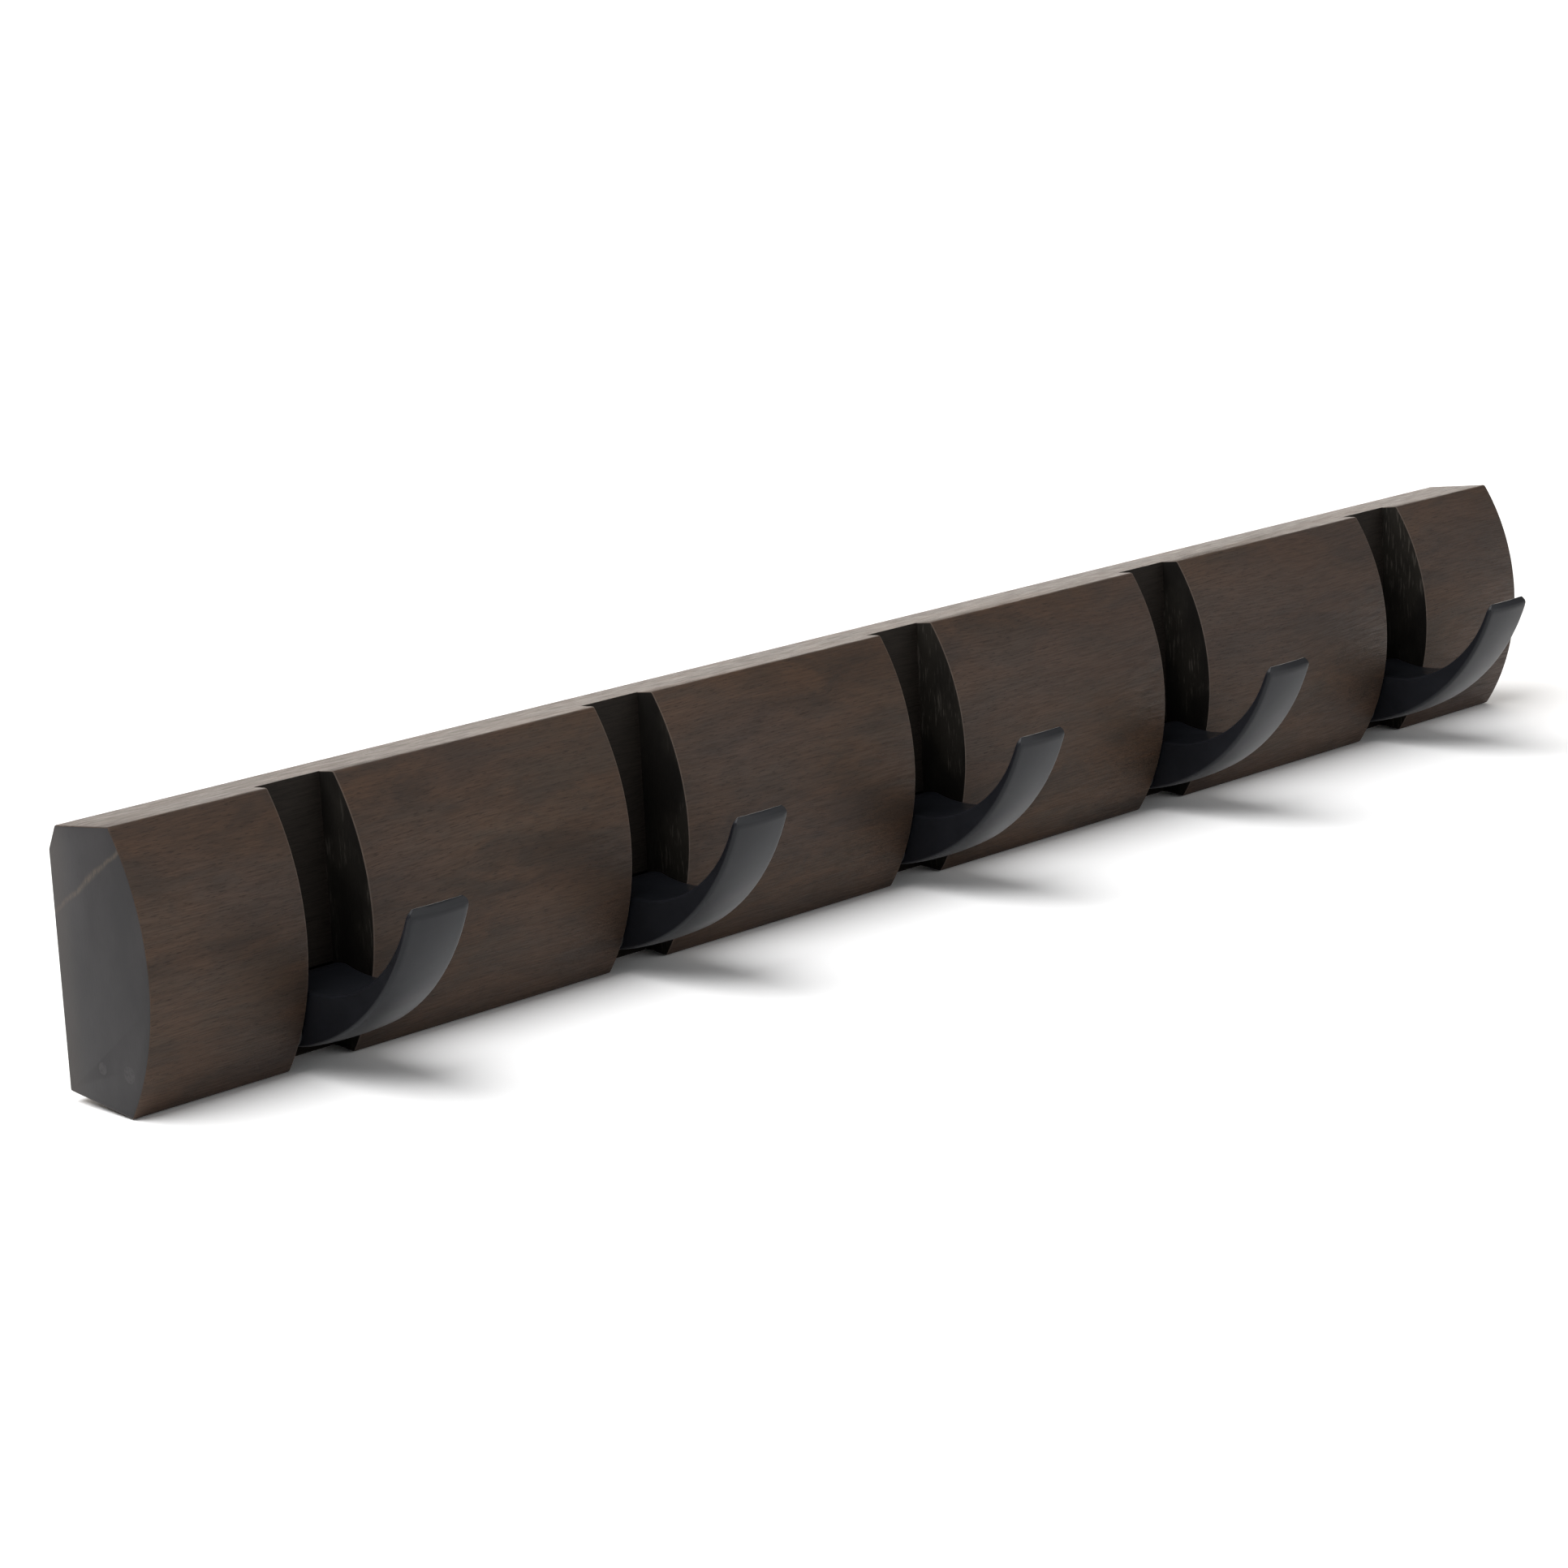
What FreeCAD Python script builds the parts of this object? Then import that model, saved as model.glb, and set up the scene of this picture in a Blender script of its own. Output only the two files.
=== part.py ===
import FreeCAD, Part
import math
import os

# Wall hook rack: a curved wooden rail with five hooks that fold flush into slots.
# Millimetres. X runs along the rail, +Y points into the wall, +Z is up.
# The origin is the middle of the rail's back face, on the wall.

# Rail
RAIL_LENGTH = 514.0
RAIL_HEIGHT = 68.0
FRONT_EDGE_DEPTH = 23.7      # depth of the rail at its top and bottom front edges
FRONT_RADIUS = 58.9          # bow of the front face, and of every hook's outer face
BOTTOM_RISE = 2.4            # how far the bottom face climbs from front to back
TOP_FALL = 2.4               # how far the top face drops from front to bevel
BEVEL_DEPTH = 3.0            # hand bevel along the top back edge
BEVEL_HEIGHT = 5.9

# Slots
HOOK_COUNT = 5
HOOK_PITCH = 101.32
SLOT_WIDTH = 19.14
SLOT_BACK = 18.6             # depth of the web that is left behind each slot

# Pivot
PIVOT_Y = -23.9
PIVOT_Z = -23.4
ROD_RADIUS = 2.0
ROD_END_GAP = 10.0           # wood beyond the blind end of each rod, and plug length
STOP_ROD_RADIUS = 1.5
STOP_ORBIT = 10.2            # distance of the stop rod from the pivot
STOP_ANGLE = -2.0
STOP_GAP = 0.2
FOLD_ANGLE = 55.8

# Hooks
HOOK_WIDTH = 17.9
HUB_RADIUS = 11.5
POCKET_RADIUS = 12.2
BORE_RADIUS = 3.0
OUTER_CENTRE = (-16.1, 29.7)
INNER_CENTRE = (-35.0, 23.6)
INNER_RADIUS = 37.0
TIP_OUTER_ANGLE = 199.5      # where the outer face ends, seen from its own centre
TIP_INNER_ANGLE = 197.6      # where the inner face ends, seen from its own centre
HEEL_TRIM = 0.5              # heel stays this far above the rail's bottom when folded
OUTER_EDGE_ROUND = 1.4
INNER_EDGE_ROUND = 0.7

# Running parts
RUNNING_GAP = 0.05
WASHER_RADIUS = 5.0
WASHER_THICKNESS = 0.5

# Keyhole hangers
KEYHOLE_X = 152.0
KEYHOLE_Z = -6.0
PLATE_WIDTH = 16.0
PLATE_HEIGHT = 44.0
PLATE_THICKNESS = 1.5
ENTRY_RADIUS = 4.5
SHANK_RADIUS = 2.3
SHANK_TRAVEL = 10.0
HEAD_ROOM = 7.0
PLATE_SCREW_SPACING = 34.0
SCREW_RADIUS = 1.4
SCREW_HEAD_RADIUS = 2.7
SCREW_LENGTH = 11.0

HALF_LENGTH = RAIL_LENGTH / 2.0
HALF_HEIGHT = RAIL_HEIGHT / 2.0
HALF_SLOT = SLOT_WIDTH / 2.0
HALF_HOOK = HOOK_WIDTH / 2.0
FRONT_CENTRE_Y = math.sqrt(FRONT_RADIUS ** 2 - HALF_HEIGHT ** 2) - FRONT_EDGE_DEPTH
X_AXIS = FreeCAD.Vector(1, 0, 0)
PIVOT = (PIVOT_Y, PIVOT_Z)
HOOK_XS = [HOOK_PITCH * (n - (HOOK_COUNT - 1) / 2.0) for n in range(HOOK_COUNT)]


def at(yz, x=0.0):
    return FreeCAD.Vector(x, yz[0], yz[1])


def polar(centre, radius, degrees):
    angle = math.radians(degrees)
    return (centre[0] + radius * math.cos(angle), centre[1] + radius * math.sin(angle))


def angle_of(centre, point):
    return math.degrees(math.atan2(point[1] - centre[1], point[0] - centre[0])) % 360.0


def arc(centre, radius, start, end):
    points = [at(polar(centre, radius, a)) for a in (start, (start + end) / 2.0, end)]
    return Part.Arc(*points).toShape()


def line(start, end):
    return Part.LineSegment(at(start), at(end)).toShape()


def rod(x_from, x_to, centre, radius):
    return Part.makeCylinder(radius, x_to - x_from, at(centre, x_from), X_AXIS)


def box(x_from, x_to, y_from, y_to, z_from, z_to):
    corner = FreeCAD.Vector(x_from, y_from, z_from)
    return Part.makeBox(x_to - x_from, y_to - y_from, z_to - z_from, corner)


def circles_meet(centre_a, radius_a, centre_b, radius_b):
    """Where two circles in the YZ plane cross: the crossing clockwise of the line of centres."""
    dy = centre_b[0] - centre_a[0]
    dz = centre_b[1] - centre_a[1]
    gap = math.hypot(dy, dz)
    along = (radius_a ** 2 - radius_b ** 2 + gap ** 2) / (2.0 * gap)
    across = -math.sqrt(radius_a ** 2 - along ** 2)
    return (centre_a[0] + (along * dy - across * dz) / gap,
            centre_a[1] + (along * dz + across * dy) / gap)


def extrude(edges, x_from, x_to):
    wire = Part.Wire(Part.__sortEdges__(edges))
    face = Part.Face(wire)
    face.translate(FreeCAD.Vector(x_from, 0, 0))
    return face.extrude(FreeCAD.Vector(x_to - x_from, 0, 0))


def rail_blank():
    """The rail before machining: flat back, bowed front, sloping top and bottom."""
    back_bottom = (0.0, -HALF_HEIGHT + BOTTOM_RISE)
    front_bottom = (-FRONT_EDGE_DEPTH, -HALF_HEIGHT)
    front_top = (-FRONT_EDGE_DEPTH, HALF_HEIGHT)
    bevel_top = (-BEVEL_DEPTH, HALF_HEIGHT - TOP_FALL)
    bevel_bottom = (0.0, HALF_HEIGHT - TOP_FALL - BEVEL_HEIGHT)
    centre = (FRONT_CENTRE_Y, 0.0)
    edges = [line(back_bottom, front_bottom),
             arc(centre, FRONT_RADIUS, angle_of(centre, front_bottom), angle_of(centre, front_top)),
             line(front_top, bevel_top),
             line(bevel_top, bevel_bottom),
             line(bevel_bottom, back_bottom)]
    return extrude(edges, -HALF_LENGTH, HALF_LENGTH)


def keyhole(x, y_from, y_to, entry_radius, shank_radius, travel):
    """A round entry hole with a narrow slot that climbs from it."""
    depth = FreeCAD.Vector(0, y_to - y_from, 0)
    y_axis = FreeCAD.Vector(0, 1, 0)
    entry = Part.makeCylinder(entry_radius, depth.Length,
                              FreeCAD.Vector(x, y_from, KEYHOLE_Z), y_axis)
    top = Part.makeCylinder(shank_radius, depth.Length,
                            FreeCAD.Vector(x, y_from, KEYHOLE_Z + travel), y_axis)
    neck = box(x - shank_radius, x + shank_radius, y_from, y_to, KEYHOLE_Z, KEYHOLE_Z + travel)
    return entry.fuse([top, neck]).removeSplitter()


def plate_screw_zs():
    middle = KEYHOLE_Z + SHANK_TRAVEL / 2.0
    return [middle - PLATE_SCREW_SPACING / 2.0, middle + PLATE_SCREW_SPACING / 2.0]


def plate_blank(x, y_from, y_to):
    """A plate with round ends, standing upright on the back of the rail."""
    middle = KEYHOLE_Z + SHANK_TRAVEL / 2.0
    half = PLATE_HEIGHT / 2.0 - PLATE_WIDTH / 2.0
    y_axis = FreeCAD.Vector(0, 1, 0)
    body = box(x - PLATE_WIDTH / 2.0, x + PLATE_WIDTH / 2.0, y_from, y_to,
               middle - half, middle + half)
    ends = [Part.makeCylinder(PLATE_WIDTH / 2.0, y_to - y_from,
                              FreeCAD.Vector(x, y_from, middle + z), y_axis)
            for z in (-half, half)]
    return body.fuse(ends).removeSplitter()


def keyhole_recess(x):
    """Shallow seat for the plate, with room behind it for the wall screw's head."""
    seat = plate_blank(x, -PLATE_THICKNESS, 1.0)
    room_half = ENTRY_RADIUS + 1.0
    room = box(x - room_half, x + room_half, -PLATE_THICKNESS - HEAD_ROOM, 0.0,
               KEYHOLE_Z - room_half, KEYHOLE_Z + SHANK_TRAVEL + room_half)
    return seat.fuse(room)


def screw(x, z):
    """Countersunk wood screw, driven forwards into the back of the rail."""
    y_back = FreeCAD.Vector(0, -1, 0)
    drop = SCREW_HEAD_RADIUS - SCREW_RADIUS
    head = Part.makeCone(SCREW_HEAD_RADIUS, SCREW_RADIUS, drop, FreeCAD.Vector(x, 0, z), y_back)
    shank = Part.makeCylinder(SCREW_RADIUS, SCREW_LENGTH - 2.0 * SCREW_RADIUS,
                              FreeCAD.Vector(x, 0, z), y_back)
    point = Part.makeCone(SCREW_RADIUS, 0.2, 2.0 * SCREW_RADIUS,
                          FreeCAD.Vector(x, -SCREW_LENGTH + 2.0 * SCREW_RADIUS, z), y_back)
    return head.fuse([shank, point]).removeSplitter()


def screw_with_drive(x, z):
    """The screw with its cross recess."""
    arm = 1.6
    width = 0.6
    depth = 0.9
    cross = box(x - arm, x + arm, -depth, 1.0, z - width / 2.0, z + width / 2.0)
    cross = cross.fuse(box(x - width / 2.0, x + width / 2.0, -depth, 1.0, z - arm, z + arm))
    return screw(x, z).cut(cross)


def keyhole_plate(x):
    plate = plate_blank(x, -PLATE_THICKNESS, 0.0)
    plate = plate.cut(keyhole(x, -PLATE_THICKNESS - 1.0, 1.0,
                              ENTRY_RADIUS, SHANK_RADIUS, SHANK_TRAVEL))
    for z in plate_screw_zs():
        plate = plate.cut(screw(x, z))
    return plate


def stop_centre():
    return polar(PIVOT, STOP_ORBIT, STOP_ANGLE)


def rail():
    """The machined rail: slots, hub pockets, rod bores and keyhole seats."""
    wood = rail_blank()
    blind = HALF_LENGTH - ROD_END_GAP
    cutters = []
    for x in HOOK_XS:
        cutters.append(box(x - HALF_SLOT, x + HALF_SLOT, -HALF_HEIGHT * 2.0, -SLOT_BACK,
                           -HALF_HEIGHT * 2.0, HALF_HEIGHT * 2.0))
        cutters.append(rod(x - HALF_SLOT, x + HALF_SLOT, PIVOT, POCKET_RADIUS))
    cutters.append(rod(-HALF_LENGTH, blind, PIVOT, ROD_RADIUS))
    cutters.append(rod(-HALF_LENGTH, blind, stop_centre(), STOP_ROD_RADIUS))
    for x in (-KEYHOLE_X, KEYHOLE_X):
        cutters.append(keyhole_recess(x))
        cutters += [screw(x, z) for z in plate_screw_zs()]
    for cutter in cutters:
        wood = wood.cut(cutter)
    return wood


def through_rod(centre, radius):
    """A steel rod that runs through the rail and every slot, short of both ends."""
    end = HALF_LENGTH - ROD_END_GAP
    return rod(-end, end, centre, radius)


def end_plug(centre, radius):
    """Wood plug that closes the drilled end of a rod bore."""
    return rod(-HALF_LENGTH, -HALF_LENGTH + ROD_END_GAP, centre, radius)


def folded_to_open(shape):
    """Turn a shape that is placed for the folded hook into the open pose."""
    turned = shape.copy()
    turned.rotate(at(PIVOT), X_AXIS, FOLD_ANGLE)
    return turned


def heel_cutter():
    """What would hang below the rail when the hook is folded."""
    slope = BOTTOM_RISE / FRONT_EDGE_DEPTH
    far_front = (-4.0 * HUB_RADIUS, -HALF_HEIGHT + HEEL_TRIM
                 + (FRONT_EDGE_DEPTH - 4.0 * HUB_RADIUS) * slope)
    far_back = (0.0, -HALF_HEIGHT + HEEL_TRIM + BOTTOM_RISE)
    low_back = (0.0, -HALF_HEIGHT * 2.0)
    low_front = (far_front[0], -HALF_HEIGHT * 2.0)
    edges = [line(far_front, far_back), line(far_back, low_back),
             line(low_back, low_front), line(low_front, far_front)]
    return folded_to_open(extrude(edges, -HOOK_WIDTH, HOOK_WIDTH))


def stop_notch():
    """The path of the stop rod past the hub, with a round seat at each end."""
    seat = STOP_ROD_RADIUS + STOP_GAP
    first = STOP_ANGLE
    last = STOP_ANGLE + FOLD_ANGLE
    inner = STOP_ORBIT - seat
    outer = STOP_ORBIT + 3.0 * seat
    edges = [arc(PIVOT, inner, first, last),
             line(polar(PIVOT, inner, last), polar(PIVOT, outer, last)),
             arc(PIVOT, outer, last, first),
             line(polar(PIVOT, outer, first), polar(PIVOT, inner, first))]
    sweep = extrude(edges, -HOOK_WIDTH, HOOK_WIDTH)
    ends = [rod(-HOOK_WIDTH, HOOK_WIDTH, polar(PIVOT, STOP_ORBIT, a), seat)
            for a in (first, last)]
    return sweep.fuse(ends)


def hook_blank():
    """Side profile of the open hook: bowed outer face, scooped inner face, round hub."""
    dome = circles_meet(PIVOT, HUB_RADIUS, INNER_CENTRE, INNER_RADIUS)
    heel = circles_meet(PIVOT, HUB_RADIUS, OUTER_CENTRE, FRONT_RADIUS)
    tip_outer = polar(OUTER_CENTRE, FRONT_RADIUS, TIP_OUTER_ANGLE)
    tip_inner = polar(INNER_CENTRE, INNER_RADIUS, TIP_INNER_ANGLE)
    outer_edge = arc(OUTER_CENTRE, FRONT_RADIUS,
                     angle_of(OUTER_CENTRE, heel), TIP_OUTER_ANGLE)
    inner_edge = arc(INNER_CENTRE, INNER_RADIUS,
                     TIP_INNER_ANGLE, angle_of(INNER_CENTRE, dome))
    hub_edge = arc(PIVOT, HUB_RADIUS, angle_of(PIVOT, dome), angle_of(PIVOT, heel) - 360.0)
    edges = [outer_edge, line(tip_outer, tip_inner), inner_edge, hub_edge]
    return extrude(edges, -HALF_HOOK, HALF_HOOK)


def side_edges(solid, centre, radius):
    """The edges of a solid that lie on one arc of its side profile."""
    found = []
    for edge in solid.Edges:
        curve = edge.Curve
        if isinstance(curve, Part.Circle) and abs(curve.Radius - radius) < 0.01:
            if (curve.Center - at(centre, curve.Center.x)).Length < 0.01:
                found.append(edge)
    return found


def hook(x):
    """One folding hook, in the open pose, with its bore and stop notch."""
    solid = hook_blank().cut(heel_cutter())
    solid = solid.cut(stop_notch())
    solid = solid.cut(rod(-HOOK_WIDTH, HOOK_WIDTH, PIVOT, BORE_RADIUS))
    solid = solid.makeFillet(OUTER_EDGE_ROUND, side_edges(solid, OUTER_CENTRE, FRONT_RADIUS))
    solid = solid.makeFillet(INNER_EDGE_ROUND, side_edges(solid, INNER_CENTRE, INNER_RADIUS))
    solid.translate(FreeCAD.Vector(x, 0, 0))
    return solid


def bushing(x):
    """Plastic sleeve pressed into the hub, running on the pivot rod."""
    sleeve = rod(x - HALF_HOOK, x + HALF_HOOK, PIVOT, BORE_RADIUS)
    return sleeve.cut(rod(x - HOOK_WIDTH, x + HOOK_WIDTH, PIVOT, ROD_RADIUS + RUNNING_GAP))


def washers(x):
    """A washer against each slot wall, so that the hook rubs on neither."""
    pair = []
    for x_from in (x - HALF_SLOT, x + HALF_SLOT - WASHER_THICKNESS):
        disc = rod(x_from, x_from + WASHER_THICKNESS, PIVOT, WASHER_RADIUS)
        pair.append(disc.cut(rod(x_from - 1.0, x_from + 2.0, PIVOT, ROD_RADIUS)))
    return Part.makeCompound(pair)


def save(name, shape):
    solids = shape.Solids
    assert shape.isValid() and solids, name
    shape.exportStep("parts/" + name + ".step")
    volume = sum(solid.Volume for solid in solids)
    print(name, len(solids), "solid(s)", round(volume / 1000.0, 3), "cm3")


os.makedirs("parts", exist_ok=True)
save("rail", rail())
for number, hook_x in enumerate(HOOK_XS, start=1):
    save("hook_%d" % number, hook(hook_x))
    save("hub_bushing_%d" % number, bushing(hook_x))
    save("pivot_washers_%d" % number, washers(hook_x))
save("pivot_rod", through_rod(PIVOT, ROD_RADIUS))
save("stop_rod", through_rod(stop_centre(), STOP_ROD_RADIUS))
save("pivot_rod_plug", end_plug(PIVOT, ROD_RADIUS))
save("stop_rod_plug", end_plug(stop_centre(), STOP_ROD_RADIUS))
for side, plate_x in (("left", -KEYHOLE_X), ("right", KEYHOLE_X)):
    save("keyhole_plate_" + side, keyhole_plate(plate_x))
    save("keyhole_screws_" + side,
         Part.makeCompound([screw_with_drive(plate_x, z) for z in plate_screw_zs()]))
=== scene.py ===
# Wall hook rack: a stained wooden rail with five cast hooks that fold up flush into its slots.
# Metres, in the frame of the CAD model: X along the rail, +Y into the wall, +Z up.

import math

import bmesh
import bpy
from mathutils import Matrix, Vector


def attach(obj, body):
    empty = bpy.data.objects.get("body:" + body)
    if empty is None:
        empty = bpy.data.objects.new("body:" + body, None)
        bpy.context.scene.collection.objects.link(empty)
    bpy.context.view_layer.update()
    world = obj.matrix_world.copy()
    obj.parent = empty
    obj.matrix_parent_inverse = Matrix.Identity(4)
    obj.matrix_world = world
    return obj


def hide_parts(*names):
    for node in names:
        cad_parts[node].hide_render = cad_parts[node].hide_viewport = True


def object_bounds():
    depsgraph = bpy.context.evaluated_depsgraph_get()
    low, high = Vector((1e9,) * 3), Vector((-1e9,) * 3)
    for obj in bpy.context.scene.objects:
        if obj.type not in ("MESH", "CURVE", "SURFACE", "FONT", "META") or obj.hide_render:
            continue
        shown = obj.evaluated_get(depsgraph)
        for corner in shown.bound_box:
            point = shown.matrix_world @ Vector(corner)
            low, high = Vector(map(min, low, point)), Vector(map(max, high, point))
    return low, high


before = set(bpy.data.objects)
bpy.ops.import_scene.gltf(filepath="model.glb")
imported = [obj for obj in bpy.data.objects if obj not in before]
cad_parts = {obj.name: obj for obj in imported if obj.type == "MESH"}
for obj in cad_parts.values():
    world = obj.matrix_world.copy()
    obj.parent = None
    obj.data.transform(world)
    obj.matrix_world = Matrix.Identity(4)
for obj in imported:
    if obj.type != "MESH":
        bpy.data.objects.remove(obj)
cad_low, cad_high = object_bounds()

MM = 0.001

# ---------------------------------------------------------------------------
# Camera. It stands to the left of the rack, a little above it, and looks
# along the rail with a long lens.

CAMERA_PLACE = (-0.77818, -0.77386, 0.24981)
CAMERA_LENS = 96.06
CAMERA_PAN = -44.253
CAMERA_TILT = -13.336
CAMERA_ROLL = -2.843

camera_data = bpy.data.cameras.new("camera")
camera_data.lens = CAMERA_LENS
camera_data.sensor_width = 36.0
camera_data.clip_start = 0.05
camera_data.clip_end = 20.0
camera = bpy.data.objects.new("camera", camera_data)
bpy.context.scene.collection.objects.link(camera)
pan = Matrix.Rotation(math.radians(CAMERA_PAN), 4, "Z")
tilt = Matrix.Rotation(math.radians(90.0 + CAMERA_TILT), 4, "X")
roll = Matrix.Rotation(math.radians(CAMERA_ROLL), 4, "Z")
camera.matrix_world = Matrix.Translation(CAMERA_PLACE) @ pan @ tilt @ roll
bpy.context.scene.camera = camera

# ---------------------------------------------------------------------------
# Studio. A white floor that fades out into an even pale surround, a large soft
# light high on the left, a long one behind that skims the top face, and a weak
# one in front.

SURROUND_LIGHT = 0.28
BACKDROP_LIGHT = 1.2
FLOOR_HALF_SIZE = 6.0
FLOOR_DROP = 0.2 * MM
GLOW_FROM = 0.45
GLOW_TO = 1.3


def new_material(name, colour, roughness, metallic=0.0):
    """A material with its Principled shader set, and that shader for wiring."""
    material = bpy.data.materials.new(name)
    material.use_nodes = True
    shader = material.node_tree.nodes["Principled BSDF"]
    shader.inputs["Base Color"].default_value = (*colour, 1.0)
    shader.inputs["Roughness"].default_value = roughness
    shader.inputs["Metallic"].default_value = metallic
    return material, shader


def link_object(name, mesh, *materials):
    """An object at the origin that shows a mesh with these materials."""
    piece = bpy.data.objects.new(name, mesh)
    bpy.context.scene.collection.objects.link(piece)
    for material in materials:
        mesh.materials.append(material)
    return piece


def soft_light(name, place, target, width, height, power, colour=(1.0, 1.0, 1.0)):
    """A rectangular area light that faces a point."""
    data = bpy.data.lights.new(name, "AREA")
    data.shape = "RECTANGLE"
    data.size = width
    data.size_y = height
    data.energy = power
    data.color = colour
    lamp = bpy.data.objects.new(name, data)
    lamp.location = place
    aim = Vector(target) - Vector(place)
    lamp.rotation_euler = aim.to_track_quat("-Z", "Y").to_euler()
    bpy.context.scene.collection.objects.link(lamp)


bpy.context.scene.view_settings.view_transform = "Standard"
world = bpy.data.worlds.new("studio")
world.use_nodes = True
world_tree = world.node_tree
backdrop = world_tree.nodes["Background"]
backdrop.inputs["Color"].default_value = (1.0, 1.0, 1.0, 1.0)
ray = world_tree.nodes.new("ShaderNodeLightPath")
glow = world_tree.nodes.new("ShaderNodeMapRange")
glow.inputs["To Min"].default_value = SURROUND_LIGHT
glow.inputs["To Max"].default_value = BACKDROP_LIGHT
world_tree.links.new(ray.outputs["Is Camera Ray"], glow.inputs["Value"])
world_tree.links.new(glow.outputs["Result"], backdrop.inputs["Strength"])
bpy.context.scene.world = world

floor_mesh = bpy.data.meshes.new("floor")
floor_bm = bmesh.new()
bmesh.ops.create_grid(floor_bm, x_segments=1, y_segments=1, size=FLOOR_HALF_SIZE)
bmesh.ops.translate(floor_bm, vec=(0.0, 0.0, cad_low.z - FLOOR_DROP), verts=floor_bm.verts)
floor_bm.to_mesh(floor_mesh)
floor_bm.free()
floor_paint, floor_shader = new_material("floor_paint", (0.93, 0.93, 0.93), 0.9)
floor_shader.inputs["Specular IOR Level"].default_value = 0.1
floor_shader.inputs["Emission Color"].default_value = (1.0, 1.0, 1.0, 1.0)
floor_tree = floor_paint.node_tree
floor_place = floor_tree.nodes.new("ShaderNodeTexCoord")
floor_distance = floor_tree.nodes.new("ShaderNodeVectorMath")
floor_distance.operation = "LENGTH"
floor_glow = floor_tree.nodes.new("ShaderNodeMapRange")
floor_glow.interpolation_type = "SMOOTHSTEP"
floor_glow.inputs["From Min"].default_value = GLOW_FROM
floor_glow.inputs["From Max"].default_value = GLOW_TO
floor_tree.links.new(floor_place.outputs["Object"], floor_distance.inputs[0])
floor_tree.links.new(floor_distance.outputs["Value"], floor_glow.inputs["Value"])
floor_tree.links.new(floor_glow.outputs["Result"], floor_shader.inputs["Emission Strength"])
link_object("floor", floor_mesh, floor_paint)

soft_light("key", (-0.9, 0.25, 1.8), (0.0, -0.02, 0.0), 2.2, 1.8, 66.0)
soft_light("skim", (0.9, 1.5, 0.6), (0.0, 0.0, 0.03), 2.4, 0.8, 22.0, (1.0, 0.93, 0.85))
soft_light("front", (0.8, -1.8, 0.6), (0.0, 0.0, 0.0), 1.8, 1.2, 12.0)

# ---------------------------------------------------------------------------
# Rail. One length of hardwood, bowed on the front and flat behind, with a
# slot sawn for each hook, round pockets for the hubs, bores for the rods and
# seats for the hangers. Stained dark brown and rubbed to a satin finish.

RAIL_HALF_LENGTH = 257.0 * MM
RAIL_HALF_HEIGHT = 34.0 * MM
RAIL_FRONT_EDGE = -23.7 * MM
RAIL_FRONT_RADIUS = 58.9 * MM
RAIL_END_RISE = 2.4 * MM
RAIL_BEVEL = (-3.0 * MM, 25.7 * MM)
RAIL_ARRIS = 0.5 * MM
SLOT_ARRIS = 0.35 * MM
SLOT_HALF_WIDTH = 9.57 * MM
SLOT_BACK = -18.6 * MM
HOOK_PITCH = 101.32 * MM
HOOK_XS = [HOOK_PITCH * step for step in (-2, -1, 0, 1, 2)]
PIVOT = (-23.9 * MM, -23.4 * MM)
POCKET_RADIUS = 12.2 * MM
STOP_ORBIT = 10.2 * MM
STOP_BEARING = -2.0
PIVOT_ROD_RADIUS = 2.0 * MM
STOP_ROD_RADIUS = 1.5 * MM
ROD_END = 247.0 * MM
HANGER_X = 152.0 * MM
HANGER_MIDDLE_Z = -1.0 * MM
HANGER_HALF_HEIGHT = 22.0 * MM
HANGER_HALF_WIDTH = 8.0 * MM
HANGER_SEAT = 1.5 * MM
HEAD_ROOM_HALF = 5.5 * MM
HEAD_ROOM_DEPTH = 8.5 * MM
HEAD_ROOM_LOW = -11.5 * MM
HEAD_ROOM_HIGH = 9.5 * MM
WEB_NEAR = SLOT_BACK - 0.5 * MM
WEB_FAR = -8.0 * MM
SAW_REACH = 60.0 * MM
PAST_FACE = 1.0 * MM
TOUCH = 0.01 * MM
SIDEWAYS = 0.9
FACE_WOOD, END_WOOD, WALL_WOOD, WEB_WOOD = range(4)


def on_circle(centre, radius, degrees):
    angle = math.radians(degrees)
    return (centre[0] + radius * math.cos(angle), centre[1] + radius * math.sin(angle))


def start_outline(bm, yz):
    return bm.verts.new((0.0, yz[0], yz[1]))


def straight_to(bm, vert, yz):
    """Carries the outline on to a point and returns its new end."""
    grown = bmesh.ops.extrude_vert_indiv(bm, verts=[vert])["verts"][0]
    grown.co = (0.0, yz[0], yz[1])
    return grown


def round_to(bm, vert, centre, degrees, steps):
    """Swings the outline about a centre, anticlockwise as seen from the right end."""
    spun = bmesh.ops.spin(bm, geom=[vert], cent=(0.0, *centre), axis=(1, 0, 0), dvec=(0, 0, 0),
                          angle=math.radians(degrees), steps=steps, use_merge=False,
                          use_duplicate=False)
    return [item for item in spun["geom_last"] if isinstance(item, bmesh.types.BMVert)][0]


def close_and_extrude(bm, x_low, x_high):
    """Fills the outline, places it at one end and draws it out to the other."""
    bmesh.ops.remove_doubles(bm, verts=bm.verts, dist=1e-6)
    bmesh.ops.contextual_create(bm, geom=list(bm.edges))
    bmesh.ops.translate(bm, vec=(x_low, 0.0, 0.0), verts=bm.verts)
    drawn = bmesh.ops.extrude_face_region(bm, geom=list(bm.faces))["geom"]
    ends = [item for item in drawn if isinstance(item, bmesh.types.BMVert)]
    bmesh.ops.translate(bm, vec=(x_high - x_low, 0.0, 0.0), verts=ends)
    bmesh.ops.recalc_face_normals(bm, faces=bm.faces)


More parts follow.
